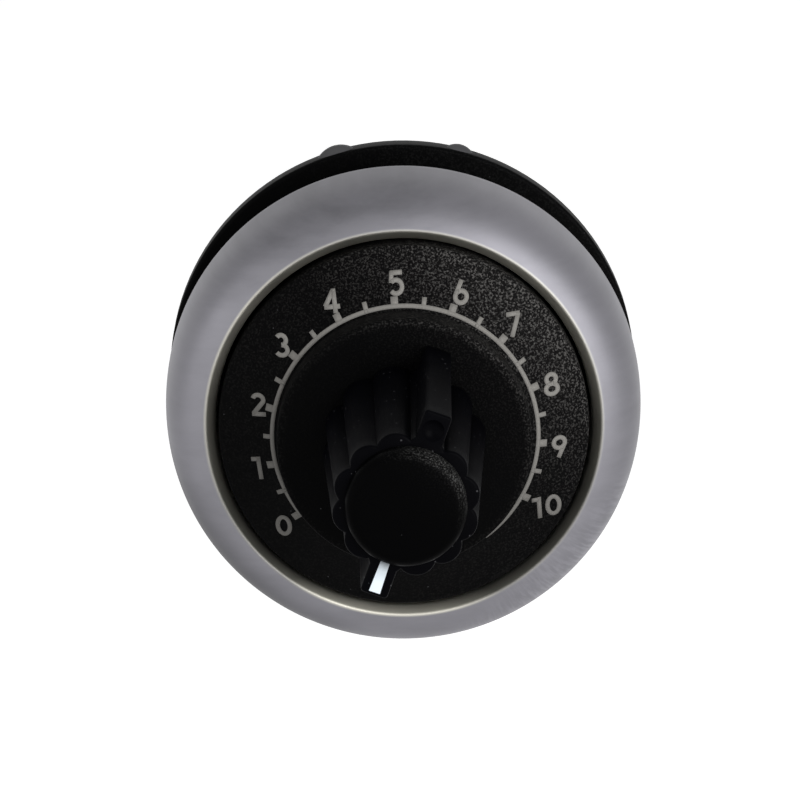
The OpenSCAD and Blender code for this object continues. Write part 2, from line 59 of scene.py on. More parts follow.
# Heights along the axis and radii, in millimetres, as in the solid model
SEAL_T = 0.8
LIP_Z = 7.5
SEAT_Z = 6.4
RIM_Z = 8.0
FOOT_Z = 9.9
BOSS_Z = 12.1
KNOB_Z = 12.4
FRONT_Z = 25.7
CAP_Z = 26.8
FLANGE_Z = 3.2
BULKHEAD_Z = 5.2
BARREL_END = -17.0
NUT_FRONT = -5.25
NUT_BACK = -6.95
COLLAR_END = -10.55
SIDE_DROP = 1.5
SHOULDER_DROP = 0.75
SHOULDER_IN = 0.7
OPENING_R = 11.6
DIAL_R = 11.45
BOSS_R = 7.8
SLOPE = (FOOT_Z - RIM_Z) / (DIAL_R - BOSS_R)
FLANGE_R = 13.3
SEAT_R = 11.3
BORE_R = 9.2
SHAFT_HOLE_R = 3.55
NUT_BORE_R = 10.95
COLLAR_R = 13.2
COLLAR_ROOT_R = 12.2
CAP_R = 3.56
# How far the crest of the dome stands above the lip of the solid model
CREST = 0.35
# Bevelled edge of the lip: how far outside the opening, and how far below the crest
LIP_EDGE = [(0.68, 0.015), (0.61, 0.04), (0.55, 0.09), (0.20, 0.44), (0.13, 0.56), (0.09, 0.74),
            (0.08, 1.0)]
# Spans that the finishes are laid out over: from the axis to the rim, and across the lip
RIM_SPAN = 15.0
LIP_SPAN = 24.0
# Glow of the floor as the camera sees it, and light from all around
FLOOR_GLOW = 0.47
AMBIENT = 0.55
# Lamps: name, place and size in metres, and power in watts
LAMPS = [
    ("key", (0.175, -0.30, 0.065), 0.24, 0.88),
    ("fill", (-0.30, -0.20, 0.10), 0.30, 0.22),
    ("glint", (-0.118, -0.315, 0.055), 0.08, 0.05),
]
LAMP_AIM = (0, -0.01, 0)


def length(name, default, text):
    return FloatProperty(name=name, description=text, default=default, subtype="DISTANCE",
                         unit="LENGTH", precision=5)


def colour(name, default, text):
    return FloatVectorProperty(name=name, description=text, default=default, subtype="COLOR",
                               size=3, min=0.0, max=1.0)


class BezelSettings(bpy.types.PropertyGroup):
    radius: length("Radius", 0.01495, "Outside radius of the bezel")
    lip_radius: length("Lip radius", 0.012, "Radius of the bright lip around the dial")
    metal: colour("Metal", (0.205, 0.202, 0.221), "Satin metal of the bezel")


class DialSettings(bpy.types.PropertyGroup):
    plate: colour("Plate", (0.0006, 0.0006, 0.0007), "Moulded black of the dial")
    # Colour of the painted glints in the grain of the dial
    painted_glint: colour("Sparkle", (0.095, 0.092, 0.088), "Glints in the grain of the dial")
    ink: colour("Ink", (0.208, 0.200, 0.186), "Print of the scale and its numbers")
    number_height: length("Number height", 0.00174, "Height of the numbers")
    stroke: length("Stroke", 0.00027, "Width of the strokes of the numbers")
    print_right: length("Print right", 0.000063, "How far the print lies right of the centre")
    print_down: length("Print down", 0.000118, "How far the print lies below the centre")


class MountSettings(bpy.types.PropertyGroup):
    thread_radius: length("Thread radius", 0.0109, "Radius over the thread of the barrel")
    core_radius: length("Core radius", 0.0101, "Radius at the root of the thread")
    pitch: length("Pitch", 0.0015, "Pitch of the thread")
    nut_radius: length("Nut radius", 0.015, "Radius of the ring nut's flange")
    lug_radius: length("Lug radius", 0.00155, "Radius of the round grip lugs on the ring nut")
    nut_turn: FloatProperty(name="Nut turn", description="How far the ring nut is turned from upright",
                            default=math.radians(-3.4), subtype="ANGLE")


class KnobSettings(bpy.types.PropertyGroup):
    base_radius: length("Base radius", 0.005, "Radius over the lobes at the dial")
    front_radius: length("Front radius", 0.00435, "Radius over the lobes at the front")
    valley_depth: length("Valley depth", 0.00050, "Depth of the valleys between the lobes")
    nose_width: length("Nose width", 0.00165, "Width of the pointer nose and of the rib opposite")
    nose_base: length("Nose base", 0.00635, "Reach of the nose from the axis, at the dial")
    nose_front: length("Nose front", 0.00580, "Reach of the nose from the axis, at the front")
    lobes: IntProperty(name="Lobes", description="Grip lobes around the knob", default=12, min=6, max=24)
    pointer: FloatProperty(name="Pointer", description="Direction of the pointer, from the right",
                           default=math.radians(246.2), subtype="ANGLE")
    plastic: colour("Plastic", (0.0008, 0.0008, 0.0012), "Black plastic of the knob")
    line: colour("Line", (0.66, 0.73, 0.78), "White line on the pointer")


class StageSettings(bpy.types.PropertyGroup):
    floor: colour("Floor", (0.92, 0.92, 0.92), "Pale floor")
    floor_height: length("Floor height", -0.040, "Height of the floor under the axis")


# Shader arithmetic

class Value:
    """A socket that can be used in arithmetic; each operation adds its node."""

    def __init__(self, sheet, socket):
        self.sheet = sheet
        self.socket = socket

    def combine(self, operation, first, second):
        return self.sheet.node("ShaderNodeMath", {"operation": operation}, {0: first, 1: second})

    def __add__(self, other):
        return self.combine("ADD", self, other)

    def __radd__(self, other):
        return self.combine("ADD", other, self)

    def __sub__(self, other):
        return self.combine("SUBTRACT", self, other)

    def __mul__(self, other):
        return self.combine("MULTIPLY", self, other)

    def __rmul__(self, other):
        return self.combine("MULTIPLY", other, self)

    def __truediv__(self, other):
        return self.combine("DIVIDE", self, other)

    def __pow__(self, other):
        return self.combine("POWER", self, other)

    def __gt__(self, other):
        return self.combine("GREATER_THAN", self, other)

    def __lt__(self, other):
        return self.combine("LESS_THAN", self, other)


class Sheet:
    """The node sheet of one material, with its principled shader."""

    def __init__(self, name):
        self.material = bpy.data.materials.new(name)
        self.material.use_nodes = True
        self.nodes = self.material.node_tree.nodes
        self.links = self.material.node_tree.links
        self.shader = next(n for n in self.nodes if n.type == "BSDF_PRINCIPLED")

    def set(self, node, key, value):
        if isinstance(value, Value):
            self.links.new(value.socket, node.inputs[key])
            return
        socket = node.inputs[key]
        if isinstance(value, (tuple, list)) and socket.type == "RGBA" and len(value) == 3:
            value = (*value, 1.0)
        socket.default_value = value

    def node(self, kind, settings=None, inputs=None, output=0):
        node = self.nodes.new(kind)
        for key, value in (settings or {}).items():
            if key == "stops":
                self.fill_ramp(node.color_ramp, value)
            else:
                setattr(node, key, value)
        for key, value in (inputs or {}).items():
            self.set(node, key, value)
        return Value(self, node.outputs[output])

    def fill_ramp(self, ramp, stops):
        while len(ramp.elements) < len(stops):
            ramp.elements.new(0.5)
        for element, (place, shade) in zip(ramp.elements, stops):
            element.position = place
            element.color = (shade, shade, shade, 1.0)

    def place(self):
        """Object coordinates in millimetres"""
        where = self.node("ShaderNodeTexCoord", output="Object")
        return self.node("ShaderNodeVectorMath", {"operation": "SCALE"}, {0: where, "Scale": 1000.0})

    def split(self, where, axes="XYZ"):
        """The coordinates of a place along some axes"""
        return [self.node("ShaderNodeSeparateXYZ", {}, {0: where}, key) for key in axes]

    def noise(self, where, size, detail=2.0, rough=0.5):
        return self.node("ShaderNodeTexNoise", {}, {
            "Vector": where, "Scale": 1.0 / size, "Detail": detail, "Roughness": rough})

    def cells(self, where, size):
        return self.node("ShaderNodeTexVoronoi", {"feature": "F1"}, {
            "Vector": where, "Scale": 1.0 / size}, "Distance")

    def ramp(self, value, stops):
        return self.node("ShaderNodeValToRGB", {"stops": stops}, {"Fac": value})

    def blend(self, factor, first, second):
        mix = self.nodes.new("ShaderNodeMix")
        mix.data_type = "RGBA"
        self.set(mix, 0, factor)
        self.set(mix, 6, first)
        self.set(mix, 7, second)
        return Value(self, mix.outputs[2])

    def dusted(self, where, shade, size, bare):
        """Pale specks, in the patches where a broad noise is above bare"""
        specks = self.cells(where, 0.55) < size
        patches = self.noise(where, 1.1, detail=1.0) > bare
        return self.blend(specks * patches, shade, (0.045, 0.045, 0.048))

    def bump(self, height, strength, distance_mm):
        return self.node("ShaderNodeBump", {}, {
            "Height": height, "Strength": strength, "Distance": distance_mm * MM})

    def finish(self, **inputs):
        for key, value in inputs.items():
            self.set(self.shader, key.replace("_", " "), value)
        return self.material


# Pieces

def deselect():
    bpy.ops.object.select_all(action="DESELECT")


def pick(piece):
    deselect()
    piece.select_set(True)
    bpy.context.view_layer.objects.active = piece


def edit(action, **options):
    bpy.ops.object.mode_set(mode="EDIT")
    bpy.ops.mesh.select_all(action="SELECT")
    action(**options)
    bpy.ops.object.mode_set(mode="OBJECT")


def mend(piece):
    """Merges doubles and turns all faces outwards"""
    pick(piece)
    edit(bpy.ops.mesh.remove_doubles, threshold=1e-6)
    edit(bpy.ops.mesh.delete_loose)
    edit(bpy.ops.mesh.normals_make_consistent, inside=False)


def outline(name, points, fill="NOTHING"):
    """A loop through points (x, y, z) in millimetres, from a circle of as many corners"""
    deselect()
    bpy.ops.mesh.primitive_circle_add(vertices=len(points), radius=MM, fill_type=fill)
    piece = bpy.context.object
    piece.name = name
    for vertex, point in zip(piece.data.vertices, points):
        vertex.co = Vector(point) * MM
    return piece


def turned(name, profile, steps=160):
    """Spins a closed profile of (radius, height) points about the axis"""
    piece = outline(name, [(r, 0.0, z) for r, z in profile])
    edit(bpy.ops.mesh.spin, steps=steps, angle=math.tau, center=(0, 0, 0), axis=(0, 0, 1))
    mend(piece)
    return piece


def swept(name, profile, at, wide, steps):
    """Spins a filled profile through part of a turn, centred on the angle at, in degrees"""
    start = math.radians(at + wide / 2)
    points = [(r * math.cos(start), r * math.sin(start), z) for r, z in profile]
    piece = outline(name, points, fill="NGON")
    edit(bpy.ops.mesh.spin, steps=steps, angle=math.radians(wide), center=(0, 0, 0), axis=(0, 0, 1))
    mend(piece)
    return piece


def apply_modifier(piece, kind, **settings):
    pick(piece)
    modifier = piece.modifiers.new(kind.lower(), kind)
    for key, value in settings.items():
        setattr(modifier, key, value)
    bpy.ops.object.modifier_apply(modifier=modifier.name)


def join(name, pieces):
    deselect()
    for piece in pieces:
        piece.select_set(True)
    bpy.context.view_layer.objects.active = pieces[0]
    bpy.ops.object.join()
    pieces[0].name = name
    return pieces[0]


def lay_over(piece, material, body, nodes=(), smooth=30.0):
    """Turns a finished piece to face the front, gives it its finish and puts it on its body"""
    pick(piece)
    piece.rotation_euler = (math.pi / 2, 0, 0)
    bpy.ops.object.transform_apply(location=True, rotation=True, scale=True)
    if smooth:
        bpy.ops.object.shade_smooth_by_angle(angle=math.radians(smooth))
    piece.data.materials.clear()
    piece.data.materials.append(material)
    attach(piece, body)
    if nodes:
        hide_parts(*nodes)


def cone_height(radius):
    """Height of the dial's cone at a distance from the axis"""
    return FOOT_Z - (radius - BOSS_R) * SLOPE


def curve_points(first, second, third, fourth, count):
    """Points along a curve drawn by four corners"""
    made = []
    for i in range(count + 1):
        t = i / count
        weights = ((1 - t) ** 3, 3 * t * (1 - t) ** 2, 3 * t * t * (1 - t), t ** 3)
        corners = (first, second, third, fourth)
        made.append(tuple(sum(w * c[k] for w, c in zip(weights, corners)) for k in (0, 1)))
    return made


def arc(cx, cy, rx, ry, start, end, count=20):
    """Points of an arc between two angles in degrees"""
    return [(cx + rx * math.cos(math.radians(start + (end - start) * i / count)),
             cy + ry * math.sin(math.radians(start + (end - start) * i / count)))
            for i in range(count + 1)]


def rounded(corner, radius, start, end, count=5):
    """Points of a round about a centre, between two angles in degrees"""
    return arc(*corner, radius, radius, start, end, count)


def ribbon(name, strokes, width, place, lean=0.0):
    """Flat ribbons along strokes of (x, y) points in millimetres, high above the dial"""
    curve = bpy.data.curves.new(name, "CURVE")
    curve.dimensions = "3D"
    curve.extrude = width / 2 * MM
    for stroke in strokes:
        closed = math.dist(stroke[0], stroke[-1]) < 1e-6
        corners = stroke[:-1] if closed else stroke
        spline = curve.splines.new("POLY")
        spline.points.add(len(corners) - 1)
        for point, (x, y) in zip(spline.points, corners):
            point.co = (x * MM, y * MM, 0, 1)
            point.tilt = math.pi / 2
        spline.use_cyclic_u = closed
    piece = bpy.data.objects.new(name, curve)
    bpy.context.collection.objects.link(piece)
    pick(piece)
    bpy.ops.object.convert(target="MESH")
    piece = bpy.context.object
    piece.rotation_euler = (0, 0, math.radians(lean))
    piece.location = (place[0] * MM, place[1] * MM, 0.02)
    bpy.ops.object.transform_apply(location=True, rotation=True, scale=True)
    return piece


def print_on(piece, plate):
    """Lays flat ribbons on the plate and gives them the thickness of print"""
    apply_modifier(piece, "SHRINKWRAP", target=plate, wrap_method="PROJECT",
                   use_project_z=True, use_negative_direction=True,
                   use_positive_direction=False, offset=0.00001)
    apply_modifier(piece, "SOLIDIFY", thickness=0.04 * MM, offset=0.0)
    return piece


# Finishes

def satin_metal(name, tint):
    """Satin plating: warm at the lip with painted highlights along it, stained and with painted shade on
    top, painted darker reflection at the lower left, painted highlight in streaks at the lower right
    """
    sheet = Sheet(name)
    where = sheet.place()
    x, y, z = sheet.split(where)
    radius = (x * x + z * z) ** 0.5
    cloud = sheet.noise(where, 4.0, detail=3.0)
    grain = sheet.noise(where, 0.09, detail=3.0, rough=0.6)
    base = sheet.blend(cloud * 0.5, tint, tuple(0.86 * c for c in tint))
    wiped = sheet.node("ShaderNodeCombineXYZ", {}, {0: x * 0.35, 1: z * 1.1})
    stain = sheet.ramp(sheet.noise(wiped, 1.6, detail=4.0, rough=0.65), [(0.42, 0.0), (0.66, 1.0)])
    # Painted shade: the top of the dome is darkened by direction, mottled by the stains
    top = sheet.ramp((x * -0.24 + z * 0.97) / RIM_SPAN, [(0.68, 0.0), (0.96, 1.0)])
    base = sheet.blend(stain * 0.10 + top * (0.36 + stain * 0.10), base, tuple(0.25 * c for c in tint))
    # Painted shade: a darker reflection towards the lower left, on the outer part of the dome
    towards = sheet.ramp((x * -0.743 + z * -0.669) / RIM_SPAN, [(0.74, 0.0), (0.97, 1.0)])
    outer = sheet.ramp((radius - 12.5) / 2.5, [(0.0, 0.0), (0.85, 1.0)])
    base = sheet.blend(towards * outer, base, tuple(0.2 * c for c in tint))
    # Painted highlight: brighter circular streaks at the lower right, on the parts facing the front
    angle = sheet.node("ShaderNodeMath", {"operation": "ARCTAN2"}, {0: z, 1: x})
    highlight_streaks = sheet.node("ShaderNodeCombineXYZ", {}, {0: angle * 55.0, 1: radius * 0.8})
    highlight_streaks = sheet.ramp(sheet.noise(highlight_streaks, 1.0, detail=3.0, rough=0.6), [(0.42, 0.0), (0.62, 1.0)])
    corner = sheet.ramp((x * 0.66 + z * -0.75) / RIM_SPAN, [(0.78, 0.0), (0.94, 1.0)])
    front = sheet.ramp(y / -8.0, [(0.5, 0.0), (0.75, 1.0)])
    base = sheet.blend(corner * highlight_streaks * front * 0.22, base, tuple(2.2 * c for c in tint))
    lip = sheet.ramp((radius - OPENING_R) / 1.4, [(0.40, 1.0), (0.60, 0.0)])
    base = sheet.blend(lip * 0.9, base, (1.04 * tint[0], 1.03 * tint[1], 0.80 * tint[2]))
    # Painted highlights on the lip: a broad one along its upper part and one at the bottom
    painted_lip_highlight = sheet.ramp(z / LIP_SPAN + 0.5, [(0.30, 0.0), (0.85, 0.95), (1.0, 0.45)])
    painted_bottom_highlight = sheet.ramp((x * -0.14 + z * -0.99) / LIP_SPAN + 0.5, [(0.93, 0.0), (0.99, 1.0)])
    base = sheet.blend(lip * (painted_lip_highlight + painted_bottom_highlight), base, (3.0 * tint[0], 2.95 * tint[1], 2.35 * tint[2]))
    return sheet.finish(Base_Color=base, Metallic=1.0, Roughness=0.46 + 0.12 * cloud - 0.06 * lip,
                        Normal=sheet.bump(grain, 0.35, 0.006))


def grained_black_painted_glints(name, base, painted_glint, strength=0.6, size=0.11, roughness=0.5, specular=0.05,
                  reach=11.5, inside=0.66, focus=1.0):
    """Moulded black with a fine grain, and painted glints in it at the upper right, outside part of its
    reach
    """
    sheet = Sheet(name)
    where = sheet.place()
    x, z = sheet.split(where, "XZ")
    grain = sheet.noise(where, size, detail=2.0, rough=0.65)
    dots = sheet.ramp(grain, [(0.0, 0.0), (0.50, 0.05), (0.66, 1.0), (1.0, 1.0)])
    # Painted glints: the grain's dots take the glint colour, more towards the upper right
    lit = sheet.ramp((x * 0.74 + z * 0.67) / (2.0 * reach) + 0.5,
                     [(0.1, 0.03), (0.6, 0.08), (0.80, 0.38), (0.97, 1.0)])
    ring = sheet.ramp((x * x + z * z) ** 0.5 / reach, [(inside - 0.03, 0.16), (inside, 1.0)])
    shade = sheet.blend(dots * lit ** focus * ring, base, painted_glint)
    shade = sheet.dusted(where, shade, 0.07, 0.62)
    return sheet.finish(Base_Color=shade, Roughness=roughness, Specular_IOR_Level=specular,
                        Normal=sheet.bump(grain, strength, 0.03))


def plain_plastic(name, base, roughness=0.45, specular=0.06, dust=0.0):
    """Smooth plastic or rubber, slightly uneven, with dust where asked for"""
    sheet = Sheet(name)
    where = sheet.place()
    fine = sheet.noise(where, 0.05, detail=2.0)
    broad = sheet.noise(where, 1.6, detail=3.0)
    shade = sheet.blend(broad, base, tuple(c * 1.5 for c in base))
    if dust:
        shade = sheet.dusted(where, shade, dust, 0.48)
    return sheet.finish(Base_Color=shade, Roughness=roughness + 0.12 * (broad - 0.5),
                        Specular_IOR_Level=specular, Normal=sheet.bump(fine, 0.2, 0.006))


def printed_ink(name, tint):
    """Thin print, a little worn, and darkened towards the lower left by painted shade"""
    sheet = Sheet(name)
    where = sheet.place()
    x, z = sheet.split(where, "XZ")
    thin = sheet.noise(where, 0.12, detail=3.0, rough=0.7)
    worn = sheet.ramp(thin, [(0.30, 0.72), (0.5, 1.0), (1.0, 1.0)])
    # Painted shade: the print is darker towards the lower left, away from the light
    side = sheet.ramp((x * 0.45 + z * 0.9) / LIP_SPAN + 0.5,
                      [(0.29, 0.13), (0.44, 0.42), (0.60, 0.83), (0.71, 1.0)])
    shade = sheet.blend(worn * side, tuple(c * 0.4 for c in tint), tint)
    return sheet.finish(Base_Color=shade, Roughness=0.6, Specular_IOR_Level=0.2)


def painted_line(name, tint):
    """White paint, darker towards the cap, where it runs under it"""
    sheet = Sheet(name)
    where = sheet.place()
    x, z = sheet.split(where, "XZ")
    radius = (x * x + z * z) ** 0.5
    thin = sheet.noise(where, 0.2, detail=3.0, rough=0.6)
    cap_fade = sheet.ramp(radius / 6.0 + thin * 0.04, [(0.62, 0.10), (0.72, 0.70), (0.84, 1.0)])
    shade = sheet.blend(cap_fade, tuple(c * 0.1 for c in tint), tint)
    return sheet.finish(Base_Color=shade, Roughness=0.55, Specular_IOR_Level=0.2)


def bright_metal(name, base, roughness):
    """Bare or plated metal, a little uneven"""
    sheet = Sheet(name)
    where = sheet.place()
    fine = sheet.noise(where, 0.25, detail=4.0, rough=0.6)
    broad = sheet.noise(where, 2.5, detail=2.0)
    shade = sheet.blend(broad, base, tuple(c * 0.8 for c in base))
    return sheet.finish(Base_Color=shade, Metallic=1.0, Roughness=roughness + 0.15 * (fine - 0.5),
                        Normal=sheet.bump(fine, 0.12, 0.01))


def dress(node, material):
    """Gives a piece of the solid model its finish"""
    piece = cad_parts[node]
    piece.data.materials.clear()
    piece.data.materials.append(material)


def seen_rays(tree):
    """The output that is 1 for rays of the camera and for glossy and transmitted ones"""
    path = tree.nodes.new("ShaderNodeLightPath")
    factor = path.outputs["Is Camera Ray"]
    for ray in ("Is Glossy Ray", "Is Transmission Ray"):
        either = tree.nodes.new("ShaderNodeMath")
        either.operation = "MAXIMUM"
        tree.links.new(factor, either.inputs[0])
        tree.links.new(path.outputs[ray], either.inputs[1])
        factor = either.outputs[0]
    return factor


# Operators

class CONTROL_OT_stage(bpy.types.Operator):
    """Adds the floor, the lights, the background and the camera"""
    bl_idname = "control.stage"
    bl_label = "Stage"

    def execute(self, context):
        settings = context.scene.control_stage
        self.floor(settings)
        self.background(context)
        for name, place, size, power in LAMPS:
            self.lamp(name, Vector(place), size, power)
        self.camera(context)
        return {"FINISHED"}

    def floor(self, settings):
        """Pale paper that glows for the camera and still takes the shadow"""
        deselect()
        bpy.ops.mesh.primitive_grid_add(x_subdivisions=8, y_subdivisions=8, size=6.0,
                                        location=(0, 0, settings.floor_height))
        floor = bpy.context.object
        floor.name = "floor"
        bpy.ops.object.transform_apply(location=True)
        sheet = Sheet("floor_paper")
        paper = Value(sheet, sheet.shader.outputs[0])
        seen = Value(sheet, seen_rays(sheet.material.node_tree))
        glow = sheet.node("ShaderNodeEmission", {}, {"Color": (1.0, 1.0, 1.0), "Strength": FLOOR_GLOW})
        both = sheet.node("ShaderNodeAddShader", {}, {0: paper, 1: glow})
        mixed = sheet.node("ShaderNodeMixShader", {}, {0: seen, 1: paper, 2: both})
        out = next(n for n in sheet.nodes if n.type == "OUTPUT_MATERIAL")
        sheet.links.new(mixed.socket, out.inputs["Surface"])
        sheet.finish(Base_Color=tuple(settings.floor), Roughness=0.9, Specular_IOR_Level=0.1)
        floor.data.materials.append(sheet.material)

    def background(self, context):
        """White as the camera sees it, and soft light from all around"""
        world = bpy.data.worlds.new("studio")
        context.scene.world = world
        world.use_nodes = True
        tree = world.node_tree
        tree.nodes.clear()
        mix = tree.nodes.new("ShaderNodeMixShader")
        out = tree.nodes.new("ShaderNodeOutputWorld")
        tree.links.new(seen_rays(tree), mix.inputs[0])
        for index, strength in ((1, AMBIENT), (2, 1.0)):
            light = tree.nodes.new("ShaderNodeBackground")
            light.inputs["Color"].default_value = (1.0, 1.0, 1.0, 1.0)
            light.inputs["Strength"].default_value = strength
            tree.links.new(light.outputs[0], mix.inputs[index])
        tree.links.new(mix.outputs[0], out.inputs["Surface"])

    def lamp(self, name, place, size, power):
        deselect()
        bpy.ops.object.light_add(type="AREA", location=place)
        lamp = bpy.context.object
        lamp.name = name
        lamp.data.shape = "DISK"
        lamp.data.size = size
        lamp.data.energy = power
        lamp.rotation_euler = (Vector(LAMP_AIM) - place).to_track_quat("-Z", "Y").to_euler()

    def camera(self, context):
        """Stands where the photograph was taken from"""
        deselect()
        bpy.ops.object.camera_add()
        camera = bpy.context.object
        camera.name = "camera"
        camera.data.sensor_width = 36.0
        camera.data.lens = 202.5
        camera.data.clip_start = 0.01
        right = Vector((0.99684, -0.00611, -0.07921))
        up = Vector((0.07816, 0.25343, 0.96419))
        back = Vector((0.01418, -0.96733, 0.25311))
        turn = Matrix((right, up, back)).transposed().to_4x4()
        camera.matrix_world = Matrix.Translation((0.003826, -0.276437, 0.071913)) @ turn
        context.scene.camera = camera
        context.scene.view_settings.view_transform = "Standard"


class CONTROL_OT_bezel(bpy.types.Operator):
    """Adds the domed metal bezel"""
    bl_idname = "control.bezel"
    bl_label = "Bezel"

    def execute(self, context):
        settings = context.scene.control_bezel
        r = settings.radius / MM
        lip = settings.lip_radius / MM
        top = LIP_Z + CREST
        inside = 13.35
        crown = curve_points((r, SEAL_T + 0.6), (r, LIP_Z - SIDE_DROP),
                             (r - SHOULDER_IN, top - SHOULDER_DROP), (lip + 0.32, top - 0.01), 40)
        profile = [(inside, SEAL_T), (r - 0.2, SEAL_T), (r - 0.06, SEAL_T + 0.06), (r, SEAL_T + 0.2)]
        profile += crown
        profile += [(OPENING_R + wide, top - drop) for wide, drop in LIP_EDGE]
        profile += [(OPENING_R, 5.6), (inside, 4.3)]
        piece = turned("bezel_ring", profile, steps=256)
        lay_over(piece, satin_metal("satin_metal", tuple(settings.metal)), HEAD,
                 ["bezel"], smooth=32.0)
        return {"FINISHED"}


# Strokes of each figure in a box one unit high, centred on the origin
FIGURES = {
    "0": [arc(0, 0, 0.255, 0.40, 0, 360, 32)],
    "1": [[(0.08, 0.5), (0.08, -0.5)], [(0.08, 0.40), (-0.22, 0.40)]],
    "2": [arc(0, 0.20, 0.22, 0.20, 165, -25) + [(-0.22, -0.36)], [(-0.30, -0.40), (0.28, -0.40)]],
    "3": [arc(0, 0.20, 0.20, 0.20, 145, -90), arc(0, -0.19, 0.24, 0.21, 90, -150)],
    "4": [[(0.10, 0.42), (-0.28, -0.17)], [(-0.32, -0.19), (0.34, -0.19)], [(0.13, 0.5), (0.13, -0.45)]],
    "5": [[(0.28, 0.40), (-0.22, 0.40)], [(-0.16, 0.45), (-0.20, 0.02)],
          arc(-0.01, -0.14, 0.25, 0.26, 138, -145)],
    "6": [arc(0, -0.17, 0.24, 0.23, 0, 360, 28), [(-0.21, -0.06), (0.08, 0.48)]],
    "7": [[(-0.30, 0.40), (0.27, 0.40)], [(0.22, 0.42), (-0.12, -0.5)]],
    "8": [arc(0, 0.21, 0.20, 0.20, 0, 360, 28), arc(0, -0.20, 0.25, 0.215, 0, 360, 28)],
    "9": [arc(0, 0.17, 0.24, 0.23, 0, 360, 28), [(0.21, 0.06), (-0.08, -0.48)]],
}
OUTLINE_STEPS = 1440
# Number, direction in degrees, distance from the axis in mm, and lean in degrees
NUMBERS = [
    ("0", 214.8, 9.61, 0), ("1", 190.1, 9.31, 4), ("2", 164.6, 9.10, 0), ("3", 139.5, 9.27, 0),
    ("4", 114.0, 9.29, 3), ("5", 88.5, 9.34, 0), ("6", 63.9, 9.39, 0), ("7", 40.5, 9.52, 0),
    ("8", 13.4, 9.51, 0), ("9", -10.8, 9.64, 0), ("10", -34.1, 10.06, 0),
]


class CONTROL_OT_dial(bpy.types.Operator):
    """Adds the black dial with its scale and numbers"""
    bl_idname = "control.dial"
    bl_label = "Dial"

    def execute(self, context):
        settings = context.scene.control_dial
        plate = self.plate()
        ink = printed_ink("scale_ink", tuple(settings.ink))
        scale = print_on(self.scale(settings), plate)
        numbers = print_on(self.numbers(settings), plate)
        lay_over(numbers, ink, HEAD, smooth=0)
        lay_over(scale, ink, HEAD, ["scale_print"], smooth=0)
        # The dial's grain gets painted glints at the upper right of the cone and on the edge of the boss
        black = grained_black_painted_glints("dial_grain_painted_glints", tuple(settings.plate), tuple(settings.painted_glint), size=0.13,
                              specular=0.020)
        lay_over(plate, black, HEAD, ["dial_plate"], smooth=28.0)
        return {"FINISHED"}

    def plate(self):
        edge = 0.13
        top = BOSS_Z + 0.1
        profile = [(2.3, top)] + rounded((BOSS_R - 0.02 - edge, top - edge), edge, 90, 0)
        profile += [(BOSS_R, FOOT_Z + 0.15)]
        profile += rounded((BOSS_R + 0.15, FOOT_Z + 0.12), 0.15, 180, 241, 3)
        profile += [(DIAL_R - 0.25, cone_height(DIAL_R - 0.25))]
        profile += rounded((DIAL_R - 0.2, RIM_Z - 0.12), 0.2, 60, 0, 3)
        profile += [(DIAL_R, SEAT_Z), (9.8, SEAT_Z), (9.8, 6.9), (6.7, 8.5), (6.7, 10.9),
                    (4.8, 10.9), (4.8, 9.5), (3.6, 9.5), (3.6, 10.9), (2.3, 10.9)]
        return turned("dial_face", profile, steps=224)

    def scale(self, settings):
        inner, wide, reach, step, tail = 8.05, 0.25, 0.42, 24.6, 24.5
        first = 90 + 5 * step
        place = (settings.print_right / MM, -settings.print_down / MM)
        line = arc(0, 0, inner + wide / 2, inner + wide / 2, first + 1.5, first - 10 * step - tail, 180)
        parts = [ribbon("arc", [line], wide, place)]
        for i in range(21):
            at = math.radians(first - i * step / 2)
            mark = [(r * math.cos(at), r * math.sin(at)) for r in (inner, inner + wide + reach)]
            parts.append(ribbon("mark", [mark], 0.45 if i % 2 == 0 else 0.28, place))
        return join("scale_marks", parts)

    def numbers(self, settings):
        """Each number from the strokes of its figures, at its place on the dial"""
        stroke = settings.stroke / MM
        height = settings.number_height / MM - stroke
        gap = 0.68
        made = []
        for text, at, distance, lean in NUMBERS:
            lines = []
            for index, figure in enumerate(text):
                shift = (index - (len(text) - 1) / 2) * gap
                lines += [[((x + shift) * height, y * height) for x, y in line]
                          for line in FIGURES[figure]]
            place = (distance * math.cos(math.radians(at)), distance * math.sin(math.radians(at)))
            made.append(ribbon("number_" + text, lines, stroke, place, lean))
        return join("scale_numbers", made)


